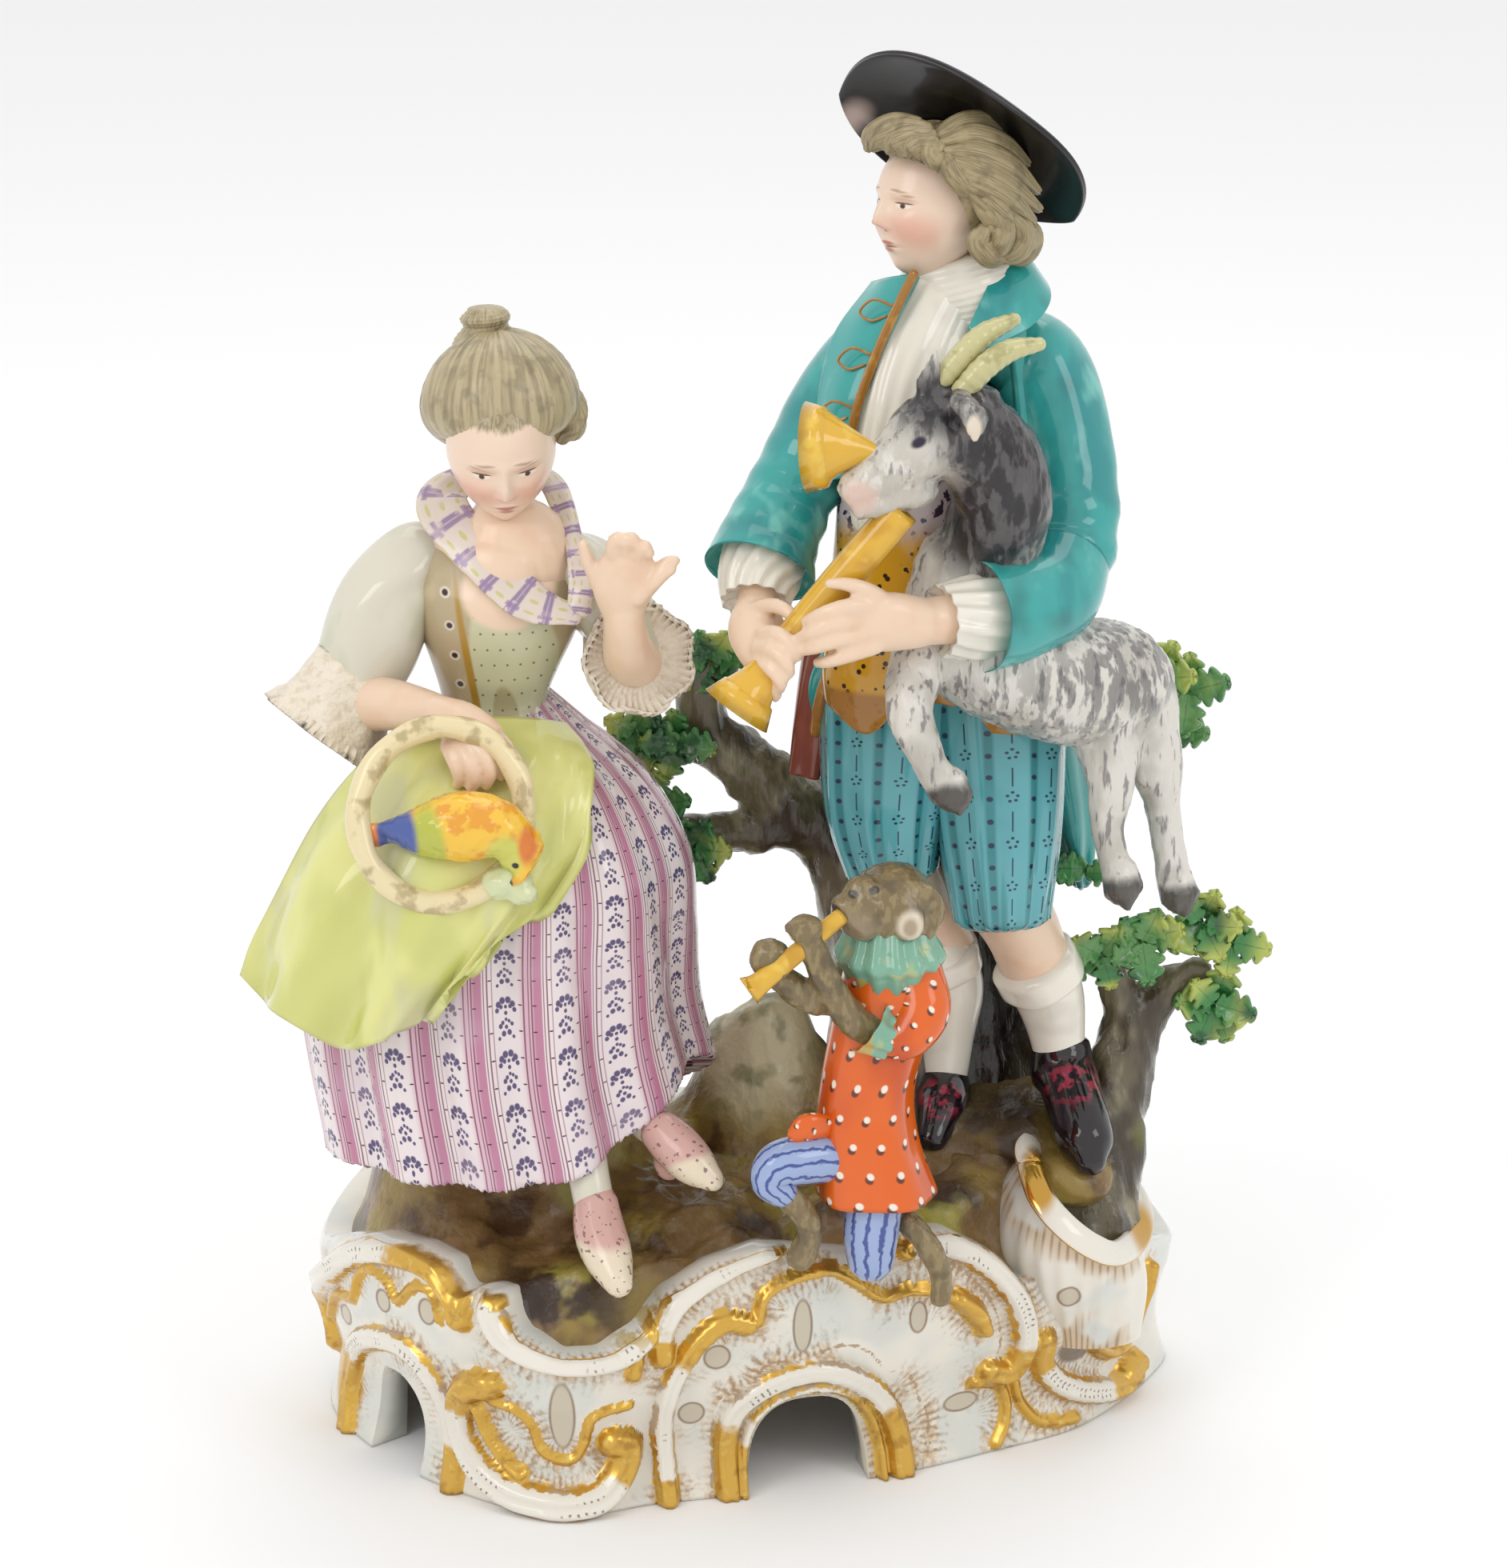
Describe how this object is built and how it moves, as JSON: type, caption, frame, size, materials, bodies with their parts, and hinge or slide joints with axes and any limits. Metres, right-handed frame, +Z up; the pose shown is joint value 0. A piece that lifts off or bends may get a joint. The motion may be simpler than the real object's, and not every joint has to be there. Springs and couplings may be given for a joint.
{
  "type": "porcelain figure group",
  "caption": "Porcelain figure group: seated shepherdess, piper with a goat bagpipe and a flute-playing monkey round an oak stump on a pierced rococo scroll base.",
  "frame": {"origin": "middle of the underside's bounding box, on the plane that the base stands on", "axes": "+Z up, towards the piper's hat; -Y towards the viewer of the group; +X to the viewer's right"},
  "size_m": [0.1965, 0.1165, 0.267],
  "materials": {
    "glazed_porcelain": "gloss",
    "painted_enamel": "gloss",
    "gilding": "polished"
  },
  "bodies": {
    "root": {"porcelain_group": "glazed_porcelain"}
  },
  "joints": []
}
